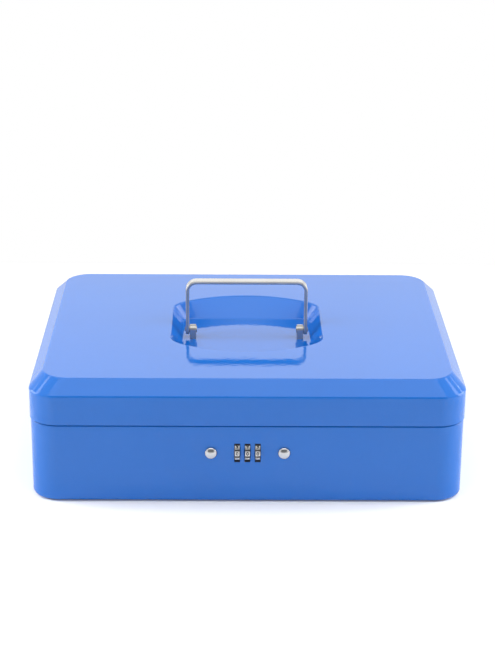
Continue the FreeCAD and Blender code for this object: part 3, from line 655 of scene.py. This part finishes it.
def slot_liners():
    """Painted shade: thin black cards in both ends of each dial slot, just behind the front face and clear of
    the wheels, where the slot lies in shade.
    """
    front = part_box("base_shell")[0].y + SLOT_SHADE_SET_BACK
    bm = bmesh.new()
    for place in DIAL_PLACES:
        x = middle_x(place + "_dial")
        for way in (-1, 1):
            bottom, top = sorted((LOCK_HEIGHT + way * SLOT_SHADE_START, LOCK_HEIGHT + way * SLOT_HEIGHT / 2))
            first = Vector((x - SLOT_WIDTH / 2, front, bottom))
            last = Vector((x + SLOT_WIDTH / 2, front + SLOT_SHADE_DEPTH, top))
            block(bm, first, last)
    add_piece(bm, "slot_liners", "base", NUMBER_INK_AND_SLOT_SHADE)


def bend_loop(bm, edges, centre, axis, angle, steps):
    """Draws a loop of edges round a bend and gives the new loop."""
    made = bmesh.ops.spin(
        bm, geom=edges, cent=centre, axis=axis, dvec=(0, 0, 0), angle=angle, steps=steps,
        use_merge=False, use_duplicate=False)["geom_last"]
    return [g for g in made if isinstance(g, bmesh.types.BMEdge)]


def round_foot(bm, edges, radius):
    """Closes the end of a flat strip with a half-round foot."""
    last_height = 0.0
    last_width = 1.0
    for step in range(1, FOOT_STEPS + 1):
        angle = QUARTER_TURN * step / (FOOT_STEPS + FOOT_STOP_SHORT)
        height = radius * math.sin(angle)
        width = math.cos(angle)
        edges = extrude_loop(bm, edges, (0, 0, last_height - height))
        for vert in {v for e in edges for v in e.verts}:
            vert.co.y *= width / last_width
        last_height = height
        last_width = width
    bmesh.ops.edgeloop_fill(bm, edges=edges)


def handle():
    """Flat strip bent to a bow, swept from leg to leg."""
    low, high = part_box("handle_bail")
    depth = high.y - low.y
    bend_height = high.z - HANDLE_BEND
    rise = bend_height - PIVOT_HEIGHT
    bm = bmesh.new()
    start = (low.x + STRIP_THICKNESS / 2, 0, PIVOT_HEIGHT)
    section = rounded_plate(bm, start, STRIP_THICKNESS, depth, STRIP_EDGE, STRIP_EDGE_STEPS)
    foot = list(bm.edges)
    bmesh.ops.delete(bm, geom=[section], context="FACES_ONLY")
    loop = extrude_loop(bm, foot, (0, 0, rise))
    left_bend = (low.x + HANDLE_BEND, 0, bend_height)
    loop = bend_loop(bm, loop, left_bend, (0, 1, 0), QUARTER_TURN, HANDLE_BEND_STEPS)
    loop = extrude_loop(bm, loop, (high.x - low.x - 2 * HANDLE_BEND, 0, 0))
    right_bend = (high.x - HANDLE_BEND, 0, bend_height)
    loop = bend_loop(bm, loop, right_bend, (0, 1, 0), QUARTER_TURN, HANDLE_BEND_STEPS)
    loop = extrude_loop(bm, loop, (0, 0, -rise))
    round_foot(bm, foot, depth / 2)
    round_foot(bm, loop, depth / 2)
    bmesh.ops.recalc_face_normals(bm, faces=bm.faces)
    piece = add_piece(bm, "nickel_handle", "handle", NICKEL, ["handle_bail"], STRIP_SHARP)
    weigh_normals(piece)


def clip(side):
    """Strap over the handle's journal, its legs through the dish floor and clenched out below."""
    low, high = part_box(side + "_handle_clip")
    radius = high.z - PIVOT_HEIGHT
    underside = low.z + CLIP_SHEET
    bm = bmesh.new()
    start = [bm.verts.new((x, low.y, underside)) for x in (low.x, high.x)]
    edges = [bm.edges.new(start)]
    edges = extrude_loop(bm, edges, (0, -radius - low.y, 0))
    edges = extrude_loop(bm, edges, (0, 0, PIVOT_HEIGHT - underside))
    edges = bend_loop(bm, edges, (0, 0, PIVOT_HEIGHT), (1, 0, 0), -math.pi, CLIP_BEND_STEPS)
    edges = extrude_loop(bm, edges, (0, 0, underside - PIVOT_HEIGHT))
    extrude_loop(bm, edges, (0, high.y - radius, 0))
    look_out(bm, Vector((low.x, 0, high.z)), UP)
    piece = add_piece(
        bm, side + "_strap", "lid", NICKEL, [side + "_handle_clip"], STRIP_SHARP)
    thicken(piece, CLIP_SHEET)
    ease_edges(piece, CLIP_EDGE, CLIP_EDGE_STEPS)
    weigh_normals(piece)


def wheel_radius(angle):
    """Radius of the number wheel: ten faces parted by round grooves."""
    step = 2 * math.pi / DIGITS
    away = (angle % step) - step / 2
    centre = DIAL_RADIUS - GROOVE_DEPTH + GROOVE_RADIUS
    across = centre * math.sin(away)
    if abs(across) >= GROOVE_RADIUS:
        return DIAL_RADIUS
    return min(DIAL_RADIUS, centre * math.cos(away) - math.sqrt(GROOVE_RADIUS ** 2 - across ** 2))


def wheel_loop(bm, x, axle, radius_at):
    """A ring of edges round the dial axle, its radius given by the angle from the front."""
    place = Matrix.Translation((x, axle.y, axle.z)) @ Matrix.Rotation(QUARTER_TURN, 4, "Y")
    verts = bmesh.ops.create_circle(
        bm, cap_ends=False, radius=1.0, segments=DIAL_STEPS, matrix=place)["verts"]
    for vert in verts:
        angle = math.atan2(vert.co.z - axle.z, axle.y - vert.co.y)
        radius = radius_at(angle)
        vert.co.y = axle.y - radius * math.cos(angle)
        vert.co.z = axle.z + radius * math.sin(angle)
    return list({e for v in verts for e in v.link_edges})


def dial(place):
    """Number wheel with its grooves and bore."""
    low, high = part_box(place + "_dial")
    axle = (low + high) / 2
    axle.z = LOCK_HEIGHT
    bm = bmesh.new()
    outer = [wheel_loop(bm, x, axle, wheel_radius) for x in (low.x, high.x)]
    inner = [wheel_loop(bm, x, axle, lambda angle: DIAL_BORE) for x in (low.x, high.x)]
    loops = [outer[0], outer[1], inner[1], inner[0]]
    for first, second in zip(loops, loops[1:] + loops[:1]):
        bmesh.ops.bridge_loops(bm, edges=first + second)
    bmesh.ops.recalc_face_normals(bm, faces=bm.faces)
    round_edges(bm, outer[0] + outer[1], DIAL_EDGE, DIAL_EDGE_STEPS)
    piece = add_piece(bm, place + "_wheel", place + "_dial", DIAL, [place + "_dial"])
    weigh_normals(piece)
    digits(place, axle)


def add_digit(bm, value):
    """Adds one number, drawn flat about the origin, and gives its vertices."""
    curve = bpy.data.curves.new("number", "FONT")
    curve.body = str(value)
    curve.align_x = "CENTER"
    curve.align_y = "CENTER"
    curve.size = FONT_SIZE
    curve.extrude = DIGIT_PROUD
    curve.offset = DIGIT_BOLD
    curve.resolution_u = DIGIT_CURVE_STEPS
    drawn = bpy.data.objects.new("number", curve)
    bpy.context.scene.collection.objects.link(drawn)
    bpy.context.view_layer.update()
    flat = bpy.data.meshes.new_from_object(drawn.evaluated_get(bpy.context.evaluated_depsgraph_get()))
    known = set(bm.verts)
    bm.from_mesh(flat)
    bpy.data.objects.remove(drawn)
    bpy.data.curves.remove(curve)
    bpy.data.meshes.remove(flat)
    return set(bm.verts) - known


def digits(place, axle):
    """The ten numbers round one wheel, wrapped on its rim, with 0 to the front."""
    bm = bmesh.new()
    for value in range(DIGITS):
        for vert in add_digit(bm, value):
            along, up, out = vert.co
            angle = up / DIAL_RADIUS - 2 * math.pi * value / DIGITS
            radius = DIAL_RADIUS + out
            vert.co = (axle.x + along, axle.y - radius * math.cos(angle), axle.z + radius * math.sin(angle))
    add_piece(bm, place + "_wheel_numbers", place + "_dial", NUMBER_INK_AND_SLOT_SHADE)


def cap_profile(front, back, edge):
    """Radius and depth along a button's cap: a shallow dome, then a shoulder that runs on from its slope."""
    shoulder = front + BUTTON_DOME
    start = math.atan2(2 * BUTTON_DOME, BUTTON_DOME_RADIUS)
    points = []
    for step in range(BUTTON_PROFILE_STEPS + 1):
        share = step / BUTTON_PROFILE_STEPS
        points.append((BUTTON_DOME_RADIUS * share, front + BUTTON_DOME * share ** 2))
    for step in range(1, BUTTON_PROFILE_STEPS + 1):
        angle = start + (QUARTER_TURN - start) * step / BUTTON_PROFILE_STEPS
        out = (math.sin(angle) - math.sin(start)) / (1 - math.sin(start))
        drop = 1 - math.cos(angle) / math.cos(start)
        radius = BUTTON_DOME_RADIUS + (edge - BUTTON_DOME_RADIUS) * out
        points.append((radius, shoulder + (back - shoulder) * drop))
    return points


def button(side):
    """Turned push button: shallow dome with a well rounded shoulder, plain shank behind."""
    low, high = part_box(side + "_button")
    x = (low.x + high.x) / 2
    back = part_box("base_shell")[0].y - BUTTON_STAND_OFF
    points = cap_profile(low.y, back, (high.x - low.x) / 2)
    points += [(BUTTON_SHANK, back), (BUTTON_SHANK, high.y), (0.0, high.y)]
    bm = bmesh.new()
    verts = [bm.verts.new((x + radius, y, LOCK_HEIGHT)) for radius, y in points]
    edges = [bm.edges.new(pair) for pair in zip(verts, verts[1:])]
    bmesh.ops.spin(
        bm, geom=verts + edges, cent=(x, 0, LOCK_HEIGHT), axis=(0, 1, 0), dvec=(0, 0, 0),
        angle=2 * math.pi, steps=BUTTON_TURN_STEPS, use_merge=True, use_duplicate=False)
    bmesh.ops.remove_doubles(bm, verts=bm.verts, dist=SAME)
    bmesh.ops.recalc_face_normals(bm, faces=bm.faces)
    add_piece(bm, side + "_cap", side + "_button", CHROME, [side + "_button"], CAP_SHARP)


def cup(bm, x_low, x_high, y_low, y_high, z):
    """One cup of the tray, hung from a rim ring."""
    centre = Vector(((x_low + x_high) / 2, (y_low + y_high) / 2, z))
    width = x_high - x_low + 2 * CUP_LIP
    depth = y_high - y_low + 2 * CUP_LIP
    face = rounded_plate(bm, centre, width, depth, CUP_CORNER + CUP_LIP, CUP_CORNER_STEPS)
    bmesh.ops.inset_region(bm, faces=[face], thickness=CUP_LIP, use_even_offset=True, use_boundary=True)
    mouth = list(face.edges)
    made = bmesh.ops.extrude_face_region(bm, geom=[face])["geom"]
    floor = next(g for g in made if isinstance(g, bmesh.types.BMFace))
    bmesh.ops.translate(bm, verts=floor.verts, vec=(0, 0, -CUP_DEPTH))
    bmesh.ops.delete(bm, geom=[face], context="FACES_ONLY")
    round_edges(bm, floor.edges, CUP_FLOOR_ROUND, CUP_FLOOR_STEPS)
    round_edges(bm, mouth, CUP_LIP_ROUND, CUP_LIP_STEPS)


def cups_across(count, low, high):
    """Left and right limits of a row of equal cups."""
    room = high.x - low.x - 2 * TRAY_MARGIN
    wide = (room - (count - 1) * TRAY_DIVIDER) / count
    starts = [low.x + TRAY_MARGIN + k * (wide + TRAY_DIVIDER) for k in range(count)]
    return [(start, start + wide) for start in starts]


def tray():
    """Moulded tray: a flat rim with a turned-down edge, five coin cups and three note bays."""
    low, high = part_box("coin_tray")
    bm = bmesh.new()
    first = low.y + TRAY_MARGIN
    split = first + COIN_ROW
    for x0, x1 in cups_across(COIN_CUPS, low, high):
        cup(bm, x0, x1, first, split, high.z)
    for x0, x1 in cups_across(NOTE_BAYS, low, high):
        cup(bm, x0, x1, split + TRAY_DIVIDER, high.y - TRAY_MARGIN, high.z)
    borders = [e for e in bm.edges if e.is_boundary]
    centre = Vector(((low.x + high.x) / 2, (low.y + high.y) / 2, high.z))
    plate = rounded_plate(bm, centre, high.x - low.x, high.y - low.y, TRAY_CORNER, TRAY_CORNER_STEPS)
    outline = list(plate.edges)
    bmesh.ops.delete(bm, geom=[plate], context="FACES_ONLY")
    fill_between(bm, outline + borders, UP)
    extrude_loop(bm, outline, (0, 0, -TRAY_SKIRT))
    look_out(bm, centre + CUP_DEPTH * DOWN, UP)
    piece = add_piece(bm, "moulded_tray", "coin_tray", PLASTIC, ["coin_tray"])
    thicken(piece, TRAY_WALL)
    weigh_normals(piece)


lid()
tub()
slot_liners()
handle()
for side in SIDES:
    clip(side)
    button(side)
for place in DIAL_PLACES:
    dial(place)
tray()

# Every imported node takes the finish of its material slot
finish_of = {
    "blue_paint": PAINT, "nickel_plate": NICKEL, "chrome_button": CHROME, "dial_metal": DIAL,
    "zinc_steel": ZINC, "bright_steel": STEEL, "tray_plastic": PLASTIC}
for part in frame["record"]["subparts"]:
    shown = frame["nodes"][part["node"]]
    shown.data.materials.clear()
    shown.data.materials.append(finish_of[part["material_slot"]])


def seen_rays(tree):
    """1 for rays of the camera, of mirror images and through glass, and 0 for rays that only carry light."""
    path = node(tree, "LightPath")
    seen = node(tree, "Math", {
        0: path.outputs["Is Camera Ray"], 1: path.outputs["Is Glossy Ray"]}, operation="MAXIMUM")
    return node(tree, "Math", {0: seen, 1: path.outputs["Is Transmission Ray"]}, operation="MAXIMUM")


def floor_material():
    """Seamless white paper: it keeps the box's shadow near by and runs out into plain white away from it."""
    material, tree, place = new_material("matt_white_backdrop_paper")
    cloud = node(tree, "TexNoise", {"Vector": place, "Scale": 1 / (200 * MM)})
    white = node(tree, "Mix", {0: cloud, 6: tint("#EFEFEF"), 7: tint("#F2F2F2")}, data_type="RGBA")
    paper = node(tree, "BsdfPrincipled", {"Base Color": white, "Roughness": 0.9, "Specular IOR Level": 0.0})
    plain_white = node(tree, "Emission", {"Color": tint("#FFFFFF"), "Strength": 1.0})
    away = node(tree, "VectorMath", {0: place}, operation="LENGTH")
    far = node(tree, "MapRange", {"Value": away, "From Min": FLOOR_FADE_START, "From Max": FLOOR_FADE_END})
    share = node(tree, "Math", {0: far, 1: seen_rays(tree)}, operation="MULTIPLY")
    shader = node(tree, "MixShader", {0: share, 1: paper, 2: plain_white})
    node(tree, "OutputMaterial", {"Surface": shader})
    return material


def card_material():
    """Grey felt on a card: it gives bright metal something darker than the white room to mirror."""
    material, tree, place = new_material("grey_felt_card")
    fibres = node(tree, "TexNoise", {"Vector": place, "Scale": 1 / (3 * MM)})
    grey = node(tree, "Mix", {0: fibres, 6: tint("#A2A2A2"), 7: tint("#B0B0B0")}, data_type="RGBA")
    shader = node(tree, "BsdfPrincipled", {"Base Color": grey, "Roughness": 1.0, "Specular IOR Level": 0.0})
    node(tree, "OutputMaterial", {"Surface": shader})
    return material


def plane(name, width, height, place, material):
    """A flat stage object."""
    bm = bmesh.new()
    bmesh.ops.create_grid(
        bm, x_segments=1, y_segments=1, size=0.5, matrix=place @ Matrix.Diagonal((width, height, 1.0, 1.0)))
    mesh = bpy.data.meshes.new(name)
    bm.to_mesh(mesh)
    bm.free()
    mesh.materials.append(material)
    made = bpy.data.objects.new(name, mesh)
    bpy.context.scene.collection.objects.link(made)
    return made


def lamp(name, place, target, width, height, watts, mirrored=True):
    """A soft box that looks at a point. One that is not mirrored only adds light."""
    data = bpy.data.lights.new(name, "AREA")
    data.shape = "RECTANGLE"
    data.size = width
    data.size_y = height
    data.energy = watts
    made = bpy.data.objects.new(name, data)
    made.location = place
    made.rotation_mode = "QUATERNION"
    made.rotation_quaternion = (Vector(target) - Vector(place)).to_track_quat("-Z", "Y")
    made.visible_glossy = mirrored
    bpy.context.scene.collection.objects.link(made)


def backdrop():
    """White paper under the box, and a grey card behind the camera that only mirror images show."""
    plane("paper_floor", FLOOR_WIDTH, FLOOR_DEPTH, Matrix.Translation(FLOOR_PLACE), floor_material())
    tilted = Matrix.Translation(CARD_PLACE) @ Matrix.Rotation(CARD_TILT, 4, "X")
    felt = plane("felt_card", CARD_WIDTH, CARD_HEIGHT, tilted, card_material())
    felt.visible_camera = False
    felt.visible_diffuse = False
    felt.visible_shadow = False


def white_room():
    """A world that looks white and gives a weak fill light."""
    world = bpy.data.worlds.new("white_studio")
    bpy.context.scene.world = world
    world.use_nodes = True
    tree = world.node_tree
    tree.nodes.clear()
    strength = node(tree, "MapRange", {"Value": seen_rays(tree), "To Min": FILL_LIGHT, "To Max": 1.0})
    white = node(tree, "Background", {"Color": tint("#FFFFFF"), "Strength": strength})
    node(tree, "OutputWorld", {"Surface": white})


def lamps():
    """Soft boxes above, behind, in front and at the sides, and lights that keep the floor white."""
    lamp("overhead_soft_box", place=(0, -0.4, 1.7), target=(0, -0.4, 0), width=1.8, height=1.5, watts=7.6)
    lamp("back_panel", place=(0, 2.2, 0.9), target=(0, 0, 0.05), width=3.0, height=1.0, watts=5.2)
    lamp("rear_floor_light", place=(0, 0.85, 0.4), target=(0, 0.35, 0), width=1.2, height=0.3, watts=2.3,
         mirrored=False)
    for name, side in (("left", -1), ("right", 1)):
        lamp(name + "_key", place=(side * 1.1, -1.6, 0.52), target=(0, 0, 0.04), width=0.8, height=0.8,
             watts=8.2, mirrored=False)
        lamp(name + "_side_box", place=(side * 1.4, 0.26, 1.04), target=(0, 0, 0.08), width=0.4, height=0.6,
             watts=1.8)
        lamp(name + "_low_panel", place=(side * 1.3, 0.25, 0.42), target=(0, 0.03, 0.08), width=0.9,
             height=0.75, watts=7.0)
        lamp(name + "_floor_light", place=(side * 0.6, -0.1, 0.45), target=(side * 0.3, -0.1, 0), width=0.3,
             height=0.7, watts=3.6, mirrored=False)


def camera():
    """The photograph's own viewpoint."""
    data = bpy.data.cameras.new("photo_camera")
    data.lens = LENS
    data.sensor_width = SENSOR_WIDTH
    made = bpy.data.objects.new("photo_camera", data)
    turn = Matrix.Rotation(-CAMERA_YAW, 4, "Z") @ Matrix.Rotation(QUARTER_TURN - CAMERA_PITCH, 4, "X")
    turn = turn @ Matrix.Rotation(CAMERA_ROLL, 4, "Z")
    made.matrix_world = Matrix.Translation(CAMERA_PLACE) @ turn
    bpy.context.scene.collection.objects.link(made)
    bpy.context.scene.camera = made


backdrop()
white_room()
lamps()
camera()
bpy.context.scene.view_settings.view_transform = "Standard"

bpy.context.view_layer.update()
